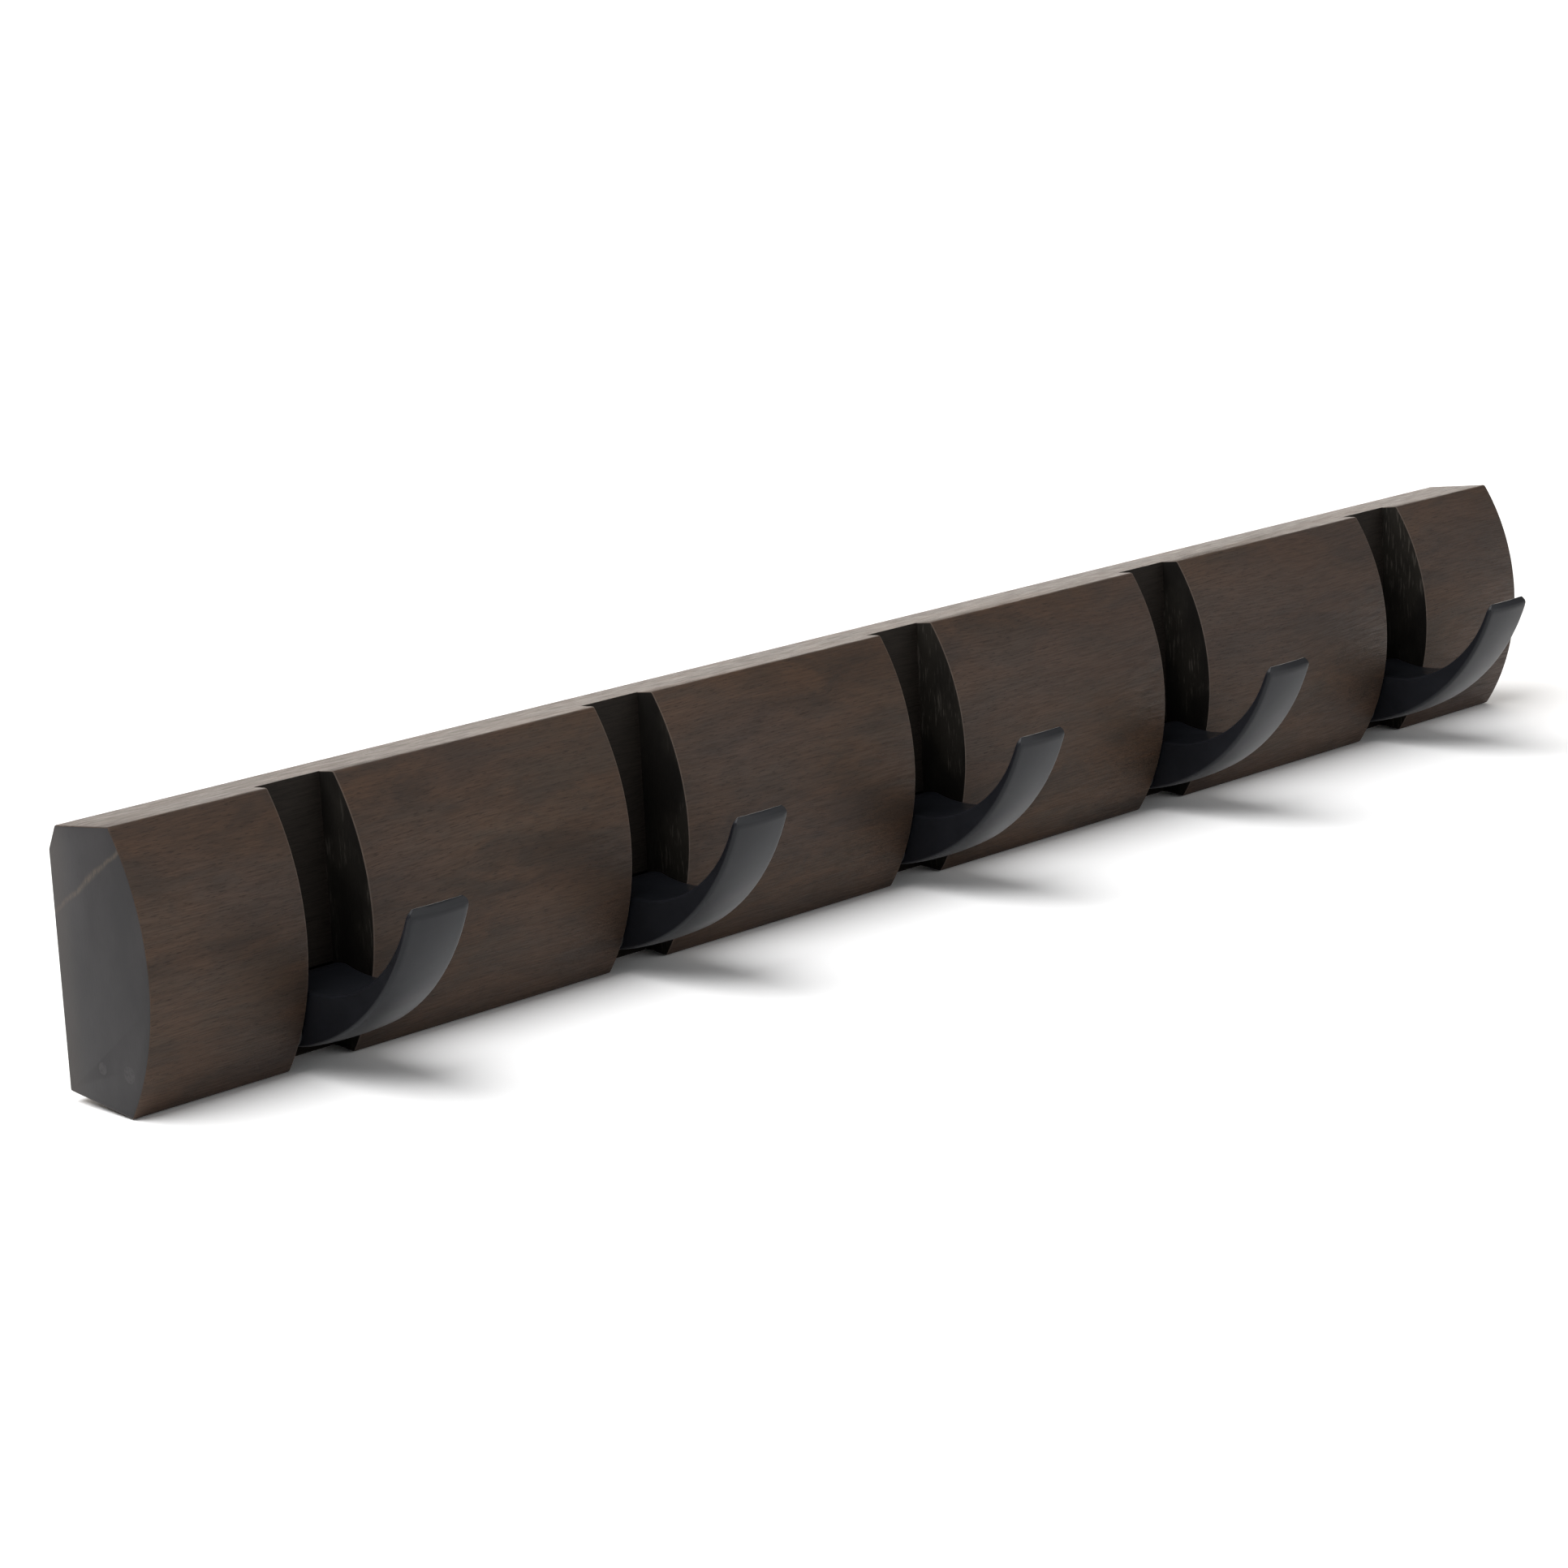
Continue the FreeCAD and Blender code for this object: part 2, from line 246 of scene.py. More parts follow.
def bevel_edges(bm, edges, width, segments):
    """Rounds edges over to the same width on both sides."""
    bmesh.ops.bevel(bm, geom=edges, offset=width, offset_type="OFFSET", segments=segments,
                    profile=0.5, affect="EDGES", material=-1, clamp_overlap=False)


def sharp_edges(bm, degrees=30.0):
    """The edges whose two faces turn by more than an angle."""
    limit = math.radians(degrees)
    return [e for e in bm.edges if e.is_manifold and e.calc_face_angle() > limit]


def mesh_from(bm, name):
    mesh = bpy.data.meshes.new(name)
    bm.to_mesh(mesh)
    bm.free()
    return mesh


def cut_away(solid, cutters):
    """Subtracts each cutter from an object's mesh, and removes the cutters."""
    for cutter in cutters:
        saw = solid.modifiers.new("saw", "BOOLEAN")
        saw.operation = "DIFFERENCE"
        saw.solver = "EXACT"
        saw.object = cutter
    graph = bpy.context.evaluated_depsgraph_get()
    cut_mesh = bpy.data.meshes.new_from_object(solid.evaluated_get(graph))
    solid.modifiers.clear()
    solid.data = cut_mesh
    for cutter in cutters:
        bpy.data.objects.remove(cutter)


def weigh_normals(solid, sharp_degrees):
    """Leaves the broad faces flat in the shading, with the turn kept to their eased edges."""
    solid.data.set_sharp_from_angle(angle=math.radians(sharp_degrees))
    weighted = solid.modifiers.new("weighted", "WEIGHTED_NORMAL")
    weighted.keep_sharp = True
    graph = bpy.context.evaluated_depsgraph_get()
    weighed_mesh = bpy.data.meshes.new_from_object(solid.evaluated_get(graph))
    solid.modifiers.clear()
    solid.data = weighed_mesh


def cutter_from(bm):
    """Closes a cutter's mesh and gives it an object, which cut_away later removes."""
    bmesh.ops.recalc_face_normals(bm, faces=bm.faces)
    return link_object("cutter", mesh_from(bm, "cutter"))


def block_cutter(low, high):
    bm = bmesh.new()
    bmesh.ops.create_cube(bm, size=1.0)
    middle = (Vector(low) + Vector(high)) / 2.0
    bmesh.ops.scale(bm, vec=Vector(high) - Vector(low), verts=bm.verts)
    bmesh.ops.translate(bm, vec=middle, verts=bm.verts)
    return cutter_from(bm)


def round_cutter(centre, radius, length, segments):
    """A round bar along the rail."""
    bm = bmesh.new()
    bmesh.ops.create_cone(bm, cap_ends=True, segments=segments, radius1=radius, radius2=radius,
                          depth=length)
    turn = Matrix.Rotation(math.radians(90.0), 3, "Y")
    bmesh.ops.rotate(bm, cent=(0, 0, 0), matrix=turn, verts=bm.verts)
    bmesh.ops.translate(bm, vec=centre, verts=bm.verts)
    return cutter_from(bm)


def hanger_seat_cutter(x):
    """The shallow round-ended seat that takes a hanger plate flush."""
    bm = bmesh.new()
    bmesh.ops.create_cube(bm, size=1.0)
    bmesh.ops.scale(bm, vec=(2 * HANGER_HALF_WIDTH, 2 * HANGER_SEAT, 2 * HANGER_HALF_HEIGHT),
                    verts=bm.verts)
    corners = [e for e in bm.edges if abs(e.verts[0].co.y - e.verts[1].co.y) > HANGER_SEAT]
    bevel_edges(bm, corners, HANGER_HALF_WIDTH * 0.999, 10)
    bmesh.ops.translate(bm, vec=(x, 0.0, HANGER_MIDDLE_Z), verts=bm.verts)
    return cutter_from(bm)


def rail_blank():
    """The planed blank before it is slotted, with its long and end arrises eased."""
    bm = bmesh.new()
    centre_y = math.sqrt(RAIL_FRONT_RADIUS ** 2 - RAIL_HALF_HEIGHT ** 2) + RAIL_FRONT_EDGE
    sweep = 2.0 * math.degrees(math.asin(RAIL_HALF_HEIGHT / RAIL_FRONT_RADIUS))
    end = start_outline(bm, (RAIL_FRONT_EDGE, RAIL_HALF_HEIGHT))
    end = round_to(bm, end, (centre_y, 0.0), sweep, steps=48)
    end = straight_to(bm, end, (0.0, -RAIL_HALF_HEIGHT + RAIL_END_RISE))
    end = straight_to(bm, end, (0.0, RAIL_BEVEL[1]))
    end = straight_to(bm, end, (RAIL_BEVEL[0], RAIL_HALF_HEIGHT - RAIL_END_RISE))
    straight_to(bm, end, (RAIL_FRONT_EDGE, RAIL_HALF_HEIGHT))
    close_and_extrude(bm, -RAIL_HALF_LENGTH, RAIL_HALF_LENGTH)
    bevel_edges(bm, sharp_edges(bm, 25.0), RAIL_ARRIS, 3)
    return mesh_from(bm, "rail")


def slot_arris_edges(bm):
    """The edges where a slot's side wall meets the outside of the rail."""
    found = []
    for edge in sharp_edges(bm):
        walls = [abs(face.normal.x) > SIDEWAYS for face in edge.link_faces]
        middle = (edge.verts[0].co + edge.verts[1].co) / 2.0
        at_slot = any(abs(abs(middle.x - x) - SLOT_HALF_WIDTH) < TOUCH for x in HOOK_XS)
        at_front = middle.y < SLOT_BACK - 0.2 * MM
        at_bottom = middle.z < -RAIL_HALF_HEIGHT + RAIL_END_RISE
        if any(walls) and at_slot and (at_front or at_bottom):
            found.append(edge)
    return found


def wood_cut(face):
    """Which of the rail's four finishes a face takes."""
    middle = face.calc_center_median()
    if abs(face.normal.x) > SIDEWAYS:
        at_end = abs(middle.x) > RAIL_HALF_LENGTH - PAST_FACE
        return END_WOOD if at_end else WALL_WOOD
    in_slot = any(abs(middle.x - x) < SLOT_HALF_WIDTH - 0.1 * MM for x in HOOK_XS)
    faces_out = face.normal.y < 0.2 and abs(face.normal.z) < 0.98
    if in_slot and faces_out and WEB_NEAR < middle.y < WEB_FAR:
        return WEB_WOOD
    return FACE_WOOD


def noise(tree, vector, scale, detail=3.0, rough=0.5, distortion=0.0):
    node = tree.nodes.new("ShaderNodeTexNoise")
    node.inputs["Scale"].default_value = scale
    node.inputs["Detail"].default_value = detail
    node.inputs["Roughness"].default_value = rough
    node.inputs["Distortion"].default_value = distortion
    tree.links.new(vector, node.inputs["Vector"])
    return node.outputs["Fac"]


def stretched(tree, vector, scale, turn=(0.0, 0.0, 0.0)):
    node = tree.nodes.new("ShaderNodeMapping")
    node.inputs["Scale"].default_value = scale
    node.inputs["Rotation"].default_value = turn
    tree.links.new(vector, node.inputs["Vector"])
    return node.outputs["Vector"]


def ramp(tree, value, low, high, to_low=0.0, to_high=1.0):
    node = tree.nodes.new("ShaderNodeMapRange")
    node.interpolation_type = "SMOOTHSTEP"
    node.inputs["From Min"].default_value = low
    node.inputs["From Max"].default_value = high
    node.inputs["To Min"].default_value = to_low
    node.inputs["To Max"].default_value = to_high
    tree.links.new(value, node.inputs["Value"])
    return node.outputs["Result"]


def maths(tree, kind, first, second):
    """One step of arithmetic on two values, each a number or a socket."""
    node = tree.nodes.new("ShaderNodeMath")
    node.operation = kind
    for socket, value in zip(node.inputs, (first, second)):
        if isinstance(value, (int, float)):
            socket.default_value = value
        else:
            tree.links.new(value, socket)
    return node.outputs["Value"]


def colour_inputs(node):
    """The colour sockets of a Mix node, which share their names with its other types."""
    return [s for s in node.inputs if s.type == "RGBA"]


def blend_colour(tree, mask, under, over):
    node = tree.nodes.new("ShaderNodeMix")
    node.data_type = "RGBA"
    sockets = [node.inputs[0], *colour_inputs(node)]
    for socket, value in zip(sockets, (mask, under, over)):
        if isinstance(value, tuple):
            socket.default_value = (*value, 1.0)
        elif isinstance(value, (int, float)):
            socket.default_value = value
        else:
            tree.links.new(value, socket)
    return [s for s in node.outputs if s.type == "RGBA"][0]


def bump(tree, height, strength, distance):
    node = tree.nodes.new("ShaderNodeBump")
    node.inputs["Strength"].default_value = strength
    node.inputs["Distance"].default_value = distance
    tree.links.new(height, node.inputs["Height"])
    return node.outputs["Normal"]


def object_coordinates(tree):
    return tree.nodes.new("ShaderNodeTexCoord").outputs["Object"]


def new_group(name, inputs, outputs):
    """A shader node group with named sockets, and its two end nodes."""
    group = bpy.data.node_groups.new(name, "ShaderNodeTree")
    for label, kind, value in inputs:
        socket = group.interface.new_socket(label, in_out="INPUT", socket_type=kind)
        if value is not None:
            socket.default_value = value
    for label, kind in outputs:
        group.interface.new_socket(label, in_out="OUTPUT", socket_type=kind)
    return group, group.nodes.new("NodeGroupInput"), group.nodes.new("NodeGroupOutput")


def wood_figure_group():
    """Straight-grained hardwood: broad bands, mottle, fine streaks and open pores along X."""
    group, given, result = new_group(
        "wood_figure", [("Vector", "NodeSocketVector", None)],
        [("Bands", "NodeSocketFloat"), ("Cast", "NodeSocketFloat"), ("Mottle", "NodeSocketFloat"),
         ("Streaks", "NodeSocketFloat"), ("Pores", "NodeSocketFloat")])
    place = given.outputs["Vector"]
    wander = noise(group, stretched(group, place, (9.0, 20.0, 20.0)), 1.0, 2.0)
    offset = group.nodes.new("ShaderNodeVectorMath")
    offset.operation = "MULTIPLY_ADD"
    offset.inputs[1].default_value = (0.0, 0.004, 0.010)
    group.links.new(wander, offset.inputs[0])
    group.links.new(place, offset.inputs[2])
    bent = offset.outputs["Vector"]
    bands = noise(group, stretched(group, bent, (11.0, 75.0, 75.0)), 1.0, 3.0, 0.55)
    cast = noise(group, stretched(group, place, (10.0, 26.0, 26.0)), 1.0, 2.0)
    mottle = noise(group, stretched(group, bent, (42.0, 130.0, 130.0)), 1.0, 6.0, 0.66, 0.5)
    streaks = noise(group, stretched(group, bent, (120.0, 3000.0, 3000.0)), 1.0, 4.0, 0.6)
    pores = noise(group, stretched(group, bent, (420.0, 4200.0, 4200.0)), 1.0, 2.0, 0.5)
    for label, value in (("Bands", bands), ("Cast", cast), ("Mottle", mottle),
                         ("Streaks", streaks)):
        group.links.new(ramp(group, value, 0.32, 0.68), result.inputs[label])
    group.links.new(ramp(group, pores, 0.56, 0.68), result.inputs["Pores"])
    return group


def slot_edge_group():
    """How close a point is to the nearest slot's side wall, along the rail."""
    group, given, result = new_group(
        "slot_edge", [("Vector", "NodeSocketVector", None), ("Reach", "NodeSocketFloat", 0.001)],
        [("Near", "NodeSocketFloat")])
    split = group.nodes.new("ShaderNodeSeparateXYZ")
    group.links.new(given.outputs["Vector"], split.inputs["Vector"])
    folded = maths(group, "PINGPONG", split.outputs["X"], HOOK_PITCH / 2.0)
    distance = maths(group, "ABSOLUTE", maths(group, "SUBTRACT", folded, SLOT_HALF_WIDTH), 0.0)
    near = maths(group, "DIVIDE", distance, given.outputs["Reach"])
    ahead = ramp(group, split.outputs["Y"], SLOT_BACK - 0.5 * MM, SLOT_BACK, 1.0, 0.0)
    # Mask for the paler slot edges, rubbed wear and a painted highlight, kept in front of the slot
    # back.
    worn_and_highlit = maths(group, "MULTIPLY", ahead, ramp(group, near, 0.0, 1.0, 1.0, 0.0))
    group.links.new(worn_and_highlit, result.inputs["Near"])
    return group


def use_group(tree, group, **values):
    """Places a group, sets its numbers, links its sockets and returns its outputs."""
    node = tree.nodes.new("ShaderNodeGroup")
    node.node_tree = group
    for label, value in values.items():
        if isinstance(value, (int, float)):
            node.inputs[label].default_value = value
        else:
            tree.links.new(value, node.inputs[label])
    return node.outputs


WOOD_FIGURE = wood_figure_group()
SLOT_EDGE = slot_edge_group()


def stained_face():
    """Long grain: dark stain, red-brown mottle, a cooler cast in places, and paler slot edges:
    rubbed wear with a painted highlight on the arrises.
    """
    material, shader = new_material("stained_face", (0.05, 0.035, 0.028), 0.45)
    shader.inputs["Specular IOR Level"].default_value = 0.14
    tree = material.node_tree
    place = object_coordinates(tree)
    figure = use_group(tree, WOOD_FIGURE, Vector=place)
    edge = use_group(tree, SLOT_EDGE, Vector=place, Reach=0.6 * MM)
    colour = blend_colour(tree, figure["Bands"], (0.029, 0.0200, 0.0148), (0.052, 0.0365, 0.0262))
    reddish = maths(tree, "MULTIPLY", figure["Mottle"], 0.62)
    colour = blend_colour(tree, reddish, colour, (0.078, 0.0420, 0.0240))
    cool = maths(tree, "MULTIPLY", figure["Cast"], 0.45)
    colour = blend_colour(tree, cool, colour, (0.046, 0.0350, 0.0320))
    fine = maths(tree, "MULTIPLY", figure["Streaks"], 0.36)
    colour = blend_colour(tree, fine, colour, (0.022, 0.0155, 0.0120))
    pores = maths(tree, "MULTIPLY", figure["Pores"], 0.42)
    colour = blend_colour(tree, pores, colour, (0.007, 0.005, 0.004))
    # Paler colour along the front slot edges: rubbed wear, and a painted highlight on the arrises.
    rubbed_and_highlit = maths(tree, "MULTIPLY", edge["Near"], 0.34)
    colour = blend_colour(tree, rubbed_and_highlit, colour, (0.16, 0.13, 0.11))
    tree.links.new(colour, shader.inputs["Base Color"])
    rough = maths(tree, "ADD", maths(tree, "MULTIPLY", figure["Streaks"], 0.24), 0.36)
    tree.links.new(rough, shader.inputs["Roughness"])
    height = maths(tree, "SUBTRACT", maths(tree, "MULTIPLY", figure["Streaks"], 0.4),
                    figure["Pores"])
    tree.links.new(bump(tree, height, 0.35, 0.00012), shader.inputs["Normal"])
    return material


END_STREAK_FROM = (-2.3 * MM, 12.6 * MM)
END_STREAK_TO = (-27.2 * MM, 29.0 * MM)
END_STREAK_WIDTH = 1.0 * MM
END_STREAK_WOBBLE = 3.0 * MM
WARMER_BACK_DEPTH = 9.0 * MM


def sealed_end():
    """End grain at the two ends: sanded, sealed and greyer, with one pale slanting streak."""
    material, shader = new_material("sealed_end", (0.07, 0.065, 0.065), 0.5)
    shader.inputs["Specular IOR Level"].default_value = 0.2
    tree = material.node_tree
    place = object_coordinates(tree)
    cloud = noise(tree, stretched(tree, place, (40.0, 55.0, 30.0), (0.5, 0.0, 0.0)), 1.0, 4.0)
    grain = noise(tree, stretched(tree, place, (300.0, 1500.0, 500.0), (0.3, 0.0, 0.0)), 1.0, 3.0)
    colour = blend_colour(tree, ramp(tree, cloud, 0.35, 0.65), (0.019, 0.0178, 0.0186),
                          (0.028, 0.0258, 0.0266))
    specks = maths(tree, "MULTIPLY", ramp(tree, grain, 0.55, 0.75), 0.30)
    colour = blend_colour(tree, specks, colour, (0.016, 0.014, 0.014))
    split = tree.nodes.new("ShaderNodeSeparateXYZ")
    tree.links.new(place, split.inputs["Vector"])
    slope = math.atan2(END_STREAK_TO[1] - END_STREAK_FROM[1], END_STREAK_TO[0] - END_STREAK_FROM[0])
    across = maths(tree, "ADD", maths(tree, "MULTIPLY", split.outputs["Y"], -math.sin(slope)),
                    maths(tree, "MULTIPLY", split.outputs["Z"], math.cos(slope)))
    middle = END_STREAK_FROM[1] * math.cos(slope) - END_STREAK_FROM[0] * math.sin(slope)
    wobble = noise(tree, place, 90.0, 3.0)
    aside = maths(tree, "ADD", across, maths(tree, "MULTIPLY", wobble, END_STREAK_WOBBLE))
    centre_line = middle + END_STREAK_WOBBLE / 2.0
    aside = maths(tree, "ABSOLUTE", maths(tree, "SUBTRACT", aside, centre_line), 0.0)
    streak = maths(tree, "MULTIPLY", ramp(tree, aside, 0.0, END_STREAK_WIDTH, 0.6, 0.0),
                    ramp(tree, grain, 0.35, 0.6, 0.4, 1.0))
    colour = blend_colour(tree, streak, colour, (0.085, 0.065, 0.048))
    # Lighter and warmer over the last few millimetres towards the back edge.
    warmer_towards_back = ramp(tree, split.outputs["Y"], -WARMER_BACK_DEPTH, 0.0, 0.0, 0.45)
    colour = blend_colour(tree, warmer_towards_back, colour, (0.052, 0.043, 0.036))
    tree.links.new(colour, shader.inputs["Base Color"])
    tree.links.new(bump(tree, grain, 0.15, 0.0001), shader.inputs["Normal"])
    return material


def sawn_wall():
    """Slot side walls: sawn end grain that drank the stain, with pale scratches; nearly black, with
    painted shade from inside the slot laid into the colour.
    """
    material, shader = new_material("sawn_wall", (0.012, 0.010, 0.009), 0.7)
    shader.inputs["Specular IOR Level"].default_value = 0.08
    tree = material.node_tree
    place = object_coordinates(tree)
    scratch = noise(tree, stretched(tree, place, (50.0, 1900.0, 210.0), (0.30, 0.0, 0.0)), 1.0, 3.0)
    patch = noise(tree, stretched(tree, place, (30.0, 70.0, 45.0)), 1.0, 3.0)
    # Near-black base: dark stained end grain, darkened further as painted shade inside the slot.
    colour = blend_colour(tree, ramp(tree, patch, 0.35, 0.65), (0.0045, 0.0038, 0.0032),
                          (0.012, 0.0105, 0.0085))
    marks = maths(tree, "MULTIPLY", ramp(tree, scratch, 0.55, 0.68), 0.32)
    marks = maths(tree, "MULTIPLY", marks, ramp(tree, patch, 0.42, 0.60))
    colour = blend_colour(tree, marks, colour, (0.085, 0.075, 0.066))
    tree.links.new(colour, shader.inputs["Base Color"])
    tree.links.new(bump(tree, scratch, 0.4, 0.0002), shader.inputs["Normal"])
    return material


def sawn_web():
    """The web behind each slot: long grain left from the saw, stained deep, and darkened further as
    painted shade at the back of the slot.
    """
    material, shader = new_material("sawn_web", (0.016, 0.012, 0.010), 0.65)
    shader.inputs["Specular IOR Level"].default_value = 0.1
    tree = material.node_tree
    figure = use_group(tree, WOOD_FIGURE, Vector=object_coordinates(tree))
    # Dark colour: deep stain on the sawn grain, plus painted shade at the back of the slot.
    colour = blend_colour(tree, figure["Streaks"], (0.011, 0.009, 0.0073), (0.018, 0.0145, 0.0118))
    tree.links.new(colour, shader.inputs["Base Color"])
    tree.links.new(bump(tree, figure["Streaks"], 0.4, 0.0002), shader.inputs["Normal"])
    return material


STOP = on_circle(PIVOT, STOP_ORBIT, STOP_BEARING)
rail = link_object("rail_wood", rail_blank())
cutters = []
for x in HOOK_XS:
    cutters.append(block_cutter((x - SLOT_HALF_WIDTH, -SAW_REACH, -SAW_REACH),
                                (x + SLOT_HALF_WIDTH, SLOT_BACK, SAW_REACH)))
    cutters.append(round_cutter((x, *PIVOT), POCKET_RADIUS, 2.0 * SLOT_HALF_WIDTH, 64))
for centre, radius in ((PIVOT, PIVOT_ROD_RADIUS), (STOP, STOP_ROD_RADIUS)):
    cutters.append(round_cutter((-RAIL_HALF_LENGTH, *centre), radius,
                                2.0 * (RAIL_HALF_LENGTH - ROD_END), 32))
for x in (-HANGER_X, HANGER_X):
    cutters.append(hanger_seat_cutter(x))
    cutters.append(block_cutter((x - HEAD_ROOM_HALF, -HEAD_ROOM_DEPTH, HEAD_ROOM_LOW),
                                (x + HEAD_ROOM_HALF, PAST_FACE, HEAD_ROOM_HIGH)))
cut_away(rail, cutters)

rail_bm = bmesh.new()
rail_bm.from_mesh(rail.data)
bmesh.ops.remove_doubles(rail_bm, verts=rail_bm.verts, dist=1e-6)
bevel_edges(rail_bm, slot_arris_edges(rail_bm), SLOT_ARRIS, 2)
for face in rail_bm.faces:
    face.smooth = True
    face.material_index = wood_cut(face)
rail.data = mesh_from(rail_bm, "rail")
rail.data.set_sharp_from_angle(angle=math.radians(28.0))
for material in (stained_face(), sealed_end(), sawn_wall(), sawn_web()):
    rail.data.materials.append(material)
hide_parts("rail")
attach(rail, "rack")

# ---------------------------------------------------------------------------
# Hooks. Five zinc castings, bowed like the front of the rail so that they
# close flush with it, with a round hub at the root. Satin black powder coat.

HOOK_HALF_WIDTH = 8.95 * MM
HUB_RADIUS = 11.5 * MM
OUTER_CENTRE = (-16.1 * MM, 29.7 * MM)
INNER_CENTRE = (-35.0 * MM, 23.6 * MM)
INNER_RADIUS = 37.0 * MM
HEEL_BEARING = 270.5
BUSH_RADIUS = 3.0 * MM
NOTCH_TO = 53.8
NOTCH_MOUTH = 59.6
SEAT_LOW_SWEEP = 97.0
TIP_OUTER_ANGLE = 199.5
TIP_INNER_ANGLE = 197.6
TIP_ROUND = 3.0 * MM
OUTER_ROUND = 1.0 * MM
INNER_ROUND = 0.65 * MM
CROWN = 0.5 * MM
CROWN_DEPTH = 2.5 * MM
CROWN_STEPS = 10
CHORD_PLAY = 0.06 * MM
FINE_PLAY = 0.02 * MM


def bearing(centre, point):
    return math.degrees(math.atan2(point[1] - centre[1], point[0] - centre[0])) % 360.0


def circles_meet(centre, radius, other_centre, other_radius):
    """Where two circles cross, on the anticlockwise side of the line between their centres."""
    apart = math.dist(centre, other_centre)
    along = (radius ** 2 - other_radius ** 2 + apart ** 2) / (2.0 * apart)
    turn = math.degrees(math.acos(along / radius))
    return on_circle(centre, radius, bearing(centre, other_centre) + turn)


def hook_mesh():
    """The casting's side profile drawn out to its width: claw, hub, notch and heel."""
    bm = bmesh.new()
    heel = on_circle(OUTER_CENTRE, RAIL_FRONT_RADIUS, HEEL_BEARING)
    tip_inner = on_circle(INNER_CENTRE, INNER_RADIUS, TIP_INNER_ANGLE)
    hub_front = circles_meet(INNER_CENTRE, INNER_RADIUS, PIVOT, HUB_RADIUS)
    inner_sweep = bearing(INNER_CENTRE, hub_front) - TIP_INNER_ANGLE
    seat_high = on_circle(PIVOT, STOP_ORBIT, NOTCH_TO)
    seat_low = on_circle(PIVOT, STOP_ORBIT, STOP_BEARING)
    mouth = on_circle(PIVOT, HUB_RADIUS, NOTCH_MOUTH)
    seat_sweep = (180.0 + NOTCH_TO - bearing(seat_high, mouth)) % 360.0
    end = start_outline(bm, heel)
    end = round_to(bm, end, OUTER_CENTRE, TIP_OUTER_ANGLE - HEEL_BEARING, steps=44)
    end = straight_to(bm, end, tip_inner)
    end = round_to(bm, end, INNER_CENTRE, inner_sweep, steps=36)
    end = round_to(bm, end, PIVOT, NOTCH_MOUTH - bearing(PIVOT, hub_front), steps=10)
    end = round_to(bm, end, seat_high, seat_sweep, steps=8)
    end = round_to(bm, end, PIVOT, STOP_BEARING - NOTCH_TO, steps=14)
    end = round_to(bm, end, seat_low, SEAT_LOW_SWEEP, steps=6)
    straight_to(bm, end, heel)
    close_and_extrude(bm, -HOOK_HALF_WIDTH, HOOK_HALF_WIDTH)
    return bm


def distance_from(edge, centre):
    return [math.hypot(v.co.y - centre[0], v.co.z - centre[1]) for v in edge.verts]


def on_arc(edge, centre, radius, play=FINE_PLAY):
    return all(abs(d - radius) < play for d in distance_from(edge, centre))


def at_side(edge):
    return all(abs(abs(v.co.x) - HOOK_HALF_WIDTH) < TOUCH for v in edge.verts)


def cut_across(bm, place, normal):
    """Adds a loop of edges where a plane crosses the mesh."""
    everything = [*bm.verts, *bm.edges, *bm.faces]
    bmesh.ops.bisect_plane(bm, geom=everything, dist=1e-6, plane_co=place, plane_no=normal)


def crown_outer_face(bm):
    """Bows the outer face across its width, so that its sides fall away by CROWN."""
    for step in range(1, CROWN_STEPS):
        cut_x = HOOK_HALF_WIDTH * (2.0 * step / CROWN_STEPS - 1.0)
        cut_across(bm, (cut_x, 0.0, 0.0), (1.0, 0.0, 0.0))
    centre = Vector((0.0, *OUTER_CENTRE))
    for vert in bm.verts:
        arm = vert.co - centre
        arm.x = 0.0
        depth = (RAIL_FRONT_RADIUS - arm.length) / CROWN_DEPTH
        fall = CROWN * (vert.co.x / HOOK_HALF_WIDTH) ** 2
        if depth < 1.0:
            vert.co -= arm.normalized() * fall * (1.0 - max(depth, 0.0))


def round_tip_corners(bm):
    """Narrows the last of the claw along a quarter circle at each side of its tip."""
    top = Vector((0.0, *on_circle(INNER_CENTRE, INNER_RADIUS, TIP_INNER_ANGLE)))
    along = Vector((0.0, *on_circle((0.0, 0.0), 1.0, TIP_OUTER_ANGLE - 90.0)))
    for degrees in range(15, 91, 15):
        down = TIP_ROUND * (1.0 - math.cos(math.radians(degrees)))
        cut_across(bm, top - along * down, along)
    for vert in bm.verts:
        short = TIP_ROUND - max((top - vert.co).dot(along), 0.0)
        if short > 0.0:
            side = HOOK_HALF_WIDTH - TIP_ROUND + math.sqrt(TIP_ROUND ** 2 - short ** 2)
            vert.co.x *= side / HOOK_HALF_WIDTH


def rounded_hook():
    """The finished casting, about X = 0, before its bush hole is bored."""
    bm = hook_mesh()
    outer = [e for e in sharp_edges(bm) if on_arc(e, OUTER_CENTRE, RAIL_FRONT_RADIUS, CHORD_PLAY)]
    bevel_edges(bm, outer, OUTER_ROUND, 4)
    inner = [e for e in sharp_edges(bm) if on_arc(e, INNER_CENTRE, INNER_RADIUS, CHORD_PLAY)
             or (on_arc(e, PIVOT, HUB_RADIUS) and e.verts[0].co.z > PIVOT[1] and at_side(e))]
    bevel_edges(bm, inner, INNER_ROUND, 4)
    crown_outer_face(bm)
    round_tip_corners(bm)
    for face in bm.faces:
        face.smooth = True
    return mesh_from(bm, "hook")


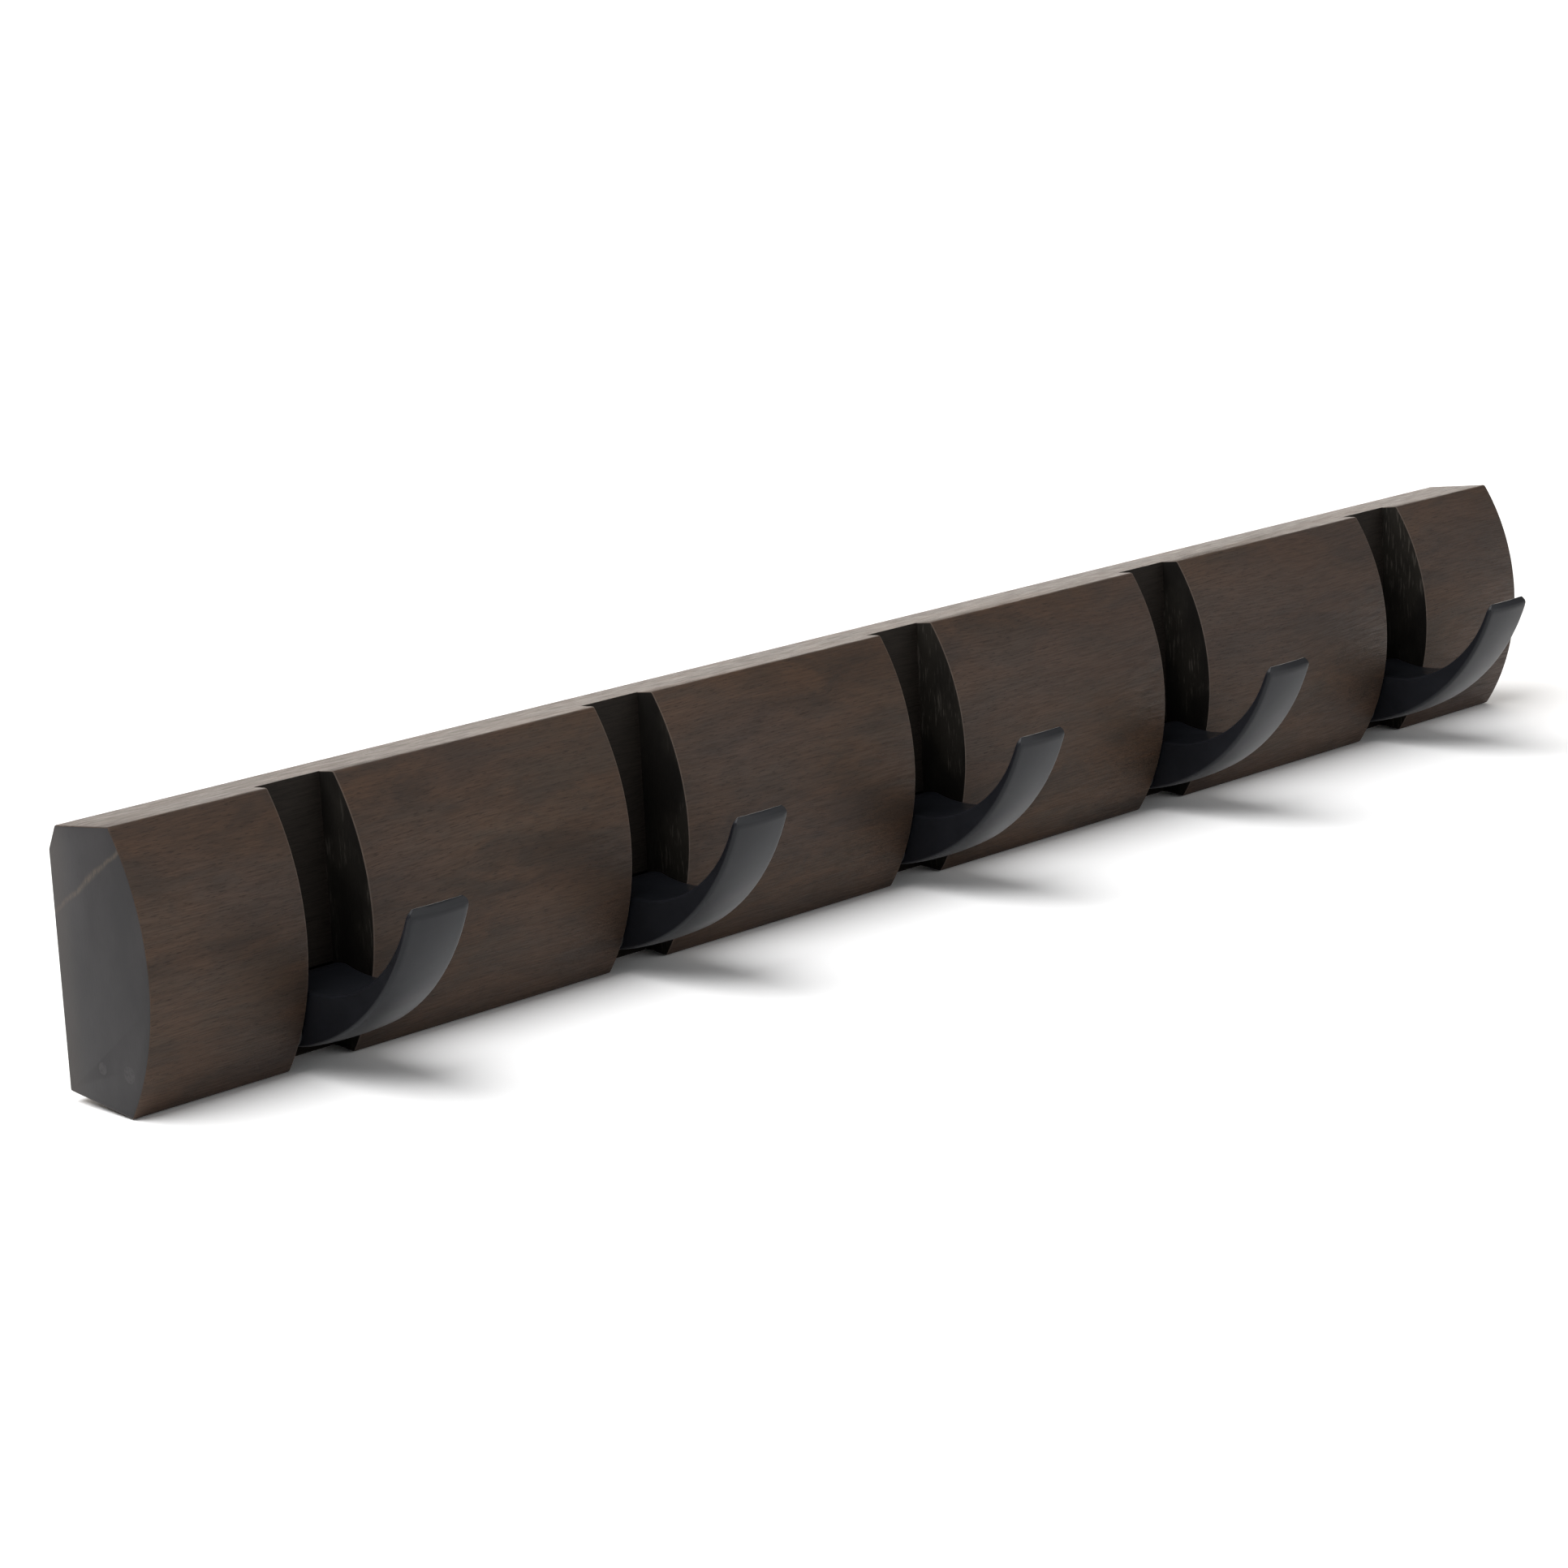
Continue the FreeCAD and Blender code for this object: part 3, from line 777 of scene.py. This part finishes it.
def powder_coat():
    """Satin black powder coat: fine orange peel, and a breath of dust in the broad tone."""
    material, shader = new_material("powder_coat", (0.0085, 0.0087, 0.0100), 0.34)
    shader.inputs["Specular IOR Level"].default_value = 0.2
    tree = material.node_tree
    place = object_coordinates(tree)
    peel = noise(tree, place, 1800.0, 3.0, 0.55)
    cloud = noise(tree, place, 60.0, 3.0)
    colour = blend_colour(tree, ramp(tree, cloud, 0.35, 0.65), (0.0062, 0.0067, 0.0086),
                          (0.0082, 0.0088, 0.0112))
    tree.links.new(colour, shader.inputs["Base Color"])
    tree.links.new(ramp(tree, cloud, 0.3, 0.7, 0.29, 0.36), shader.inputs["Roughness"])
    tree.links.new(bump(tree, peel, 0.12, 0.00008), shader.inputs["Normal"])
    return material


POWDER_COAT = powder_coat()
plain_hook = rounded_hook()
for number, x in enumerate(HOOK_XS, start=1):
    mesh = plain_hook.copy()
    mesh.transform(Matrix.Translation((x, 0.0, 0.0)))
    hook = link_object("folding_hook_%d_casting" % number, mesh, POWDER_COAT)
    bush_hole = round_cutter((x, *PIVOT), BUSH_RADIUS, 4.0 * HOOK_HALF_WIDTH, 40)
    cut_away(hook, [bush_hole])
    weigh_normals(hook, 40.0)
    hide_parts("hook_%d" % number)
    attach(hook, "folding_hook_%d" % number)
bpy.data.meshes.remove(plain_hook)

# ---------------------------------------------------------------------------
# Sleeves and washers. Black nylon: a sleeve pressed into each hub, and a
# washer against each slot wall, so that the hook turns without rubbing.


def finish_nodes(material, *names):
    """Gives CAD nodes their finish in place of the plain one that they came with."""
    for name in names:
        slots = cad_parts[name].material_slots
        for material_slot in slots:
            material_slot.link = "DATA"
            material_slot.material = material


def moulded_nylon():
    """Matt black nylon with a fine moulded grain."""
    material, shader = new_material("moulded_nylon", (0.035, 0.035, 0.036), 0.55)
    tree = material.node_tree
    grain = noise(tree, object_coordinates(tree), 2500.0, 2.0)
    tree.links.new(ramp(tree, grain, 0.3, 0.7, 0.48, 0.62), shader.inputs["Roughness"])
    tree.links.new(bump(tree, grain, 0.1, 0.00005), shader.inputs["Normal"])
    return material


finish_nodes(moulded_nylon(), *["hub_bushing_%d" % n for n in range(1, 6)],
             *["pivot_washers_%d" % n for n in range(1, 6)])

# ---------------------------------------------------------------------------
# Rods. Drawn steel: a long pivot rod through every hub, and a thinner stop
# rod behind it that each hub's notch comes to rest on.


def drawn_steel():
    """Bare steel with fine draw marks along its length."""
    material, shader = new_material("drawn_steel", (0.50, 0.50, 0.51), 0.32, 1.0)
    tree = material.node_tree
    drawn = noise(tree, stretched(tree, object_coordinates(tree), (25.0, 2600.0, 2600.0)), 1.0, 3.0)
    colour = blend_colour(tree, drawn, (0.40, 0.40, 0.41), (0.60, 0.60, 0.61))
    tree.links.new(colour, shader.inputs["Base Color"])
    tree.links.new(ramp(tree, drawn, 0.3, 0.7, 0.24, 0.42), shader.inputs["Roughness"])
    return material


finish_nodes(drawn_steel(), "pivot_rod", "stop_rod")

# ---------------------------------------------------------------------------
# End plugs. Short wooden dowels that close the drilled ends of the two rod
# bores, sanded flush and stained with the end grain.


def plug_stain():
    """The plugs' end grain, stained a shade off the wood around them."""
    material, shader = new_material("plug_stain", (0.075, 0.070, 0.069), 0.5)
    shader.inputs["Specular IOR Level"].default_value = 0.2
    tree = material.node_tree
    grain = noise(tree, stretched(tree, object_coordinates(tree), (200.0, 1400.0, 1400.0)), 1.0, 3.0)
    colour = blend_colour(tree, ramp(tree, grain, 0.4, 0.7), (0.036, 0.033, 0.034),
                          (0.024, 0.022, 0.023))
    tree.links.new(colour, shader.inputs["Base Color"])
    return material


finish_nodes(plug_stain(), "pivot_rod_plug", "stop_rod_plug")

# ---------------------------------------------------------------------------
# Hangers. Two pressed steel keyhole plates let flush into the back, each
# held by two countersunk wood screws. Bright zinc plate.


def zinc_plate(name, low, high, rough_low, rough_high):
    """Zinc plate: rolled streaks, faint cloudiness and a slightly uneven shine."""
    material, shader = new_material(name, low, rough_low, 1.0)
    tree = material.node_tree
    place = object_coordinates(tree)
    cloud = noise(tree, place, 130.0, 4.0, 0.6)
    rolled = noise(tree, stretched(tree, place, (1800.0, 60.0, 60.0)), 1.0, 3.0)
    mixed = maths(tree, "MULTIPLY", maths(tree, "ADD", cloud, rolled), 0.5)
    colour = blend_colour(tree, ramp(tree, mixed, 0.35, 0.65), low, high)
    tree.links.new(colour, shader.inputs["Base Color"])
    tree.links.new(ramp(tree, mixed, 0.35, 0.65, rough_low, rough_high),
                   shader.inputs["Roughness"])
    tree.links.new(bump(tree, rolled, 0.08, 0.00005), shader.inputs["Normal"])
    return material


finish_nodes(zinc_plate("hanger_zinc", (0.33, 0.34, 0.35), (0.46, 0.47, 0.48), 0.30, 0.46),
             "keyhole_plate_left", "keyhole_plate_right")
finish_nodes(zinc_plate("screw_zinc", (0.36, 0.34, 0.29), (0.50, 0.47, 0.40), 0.24, 0.38),
             "keyhole_screws_left", "keyhole_screws_right")
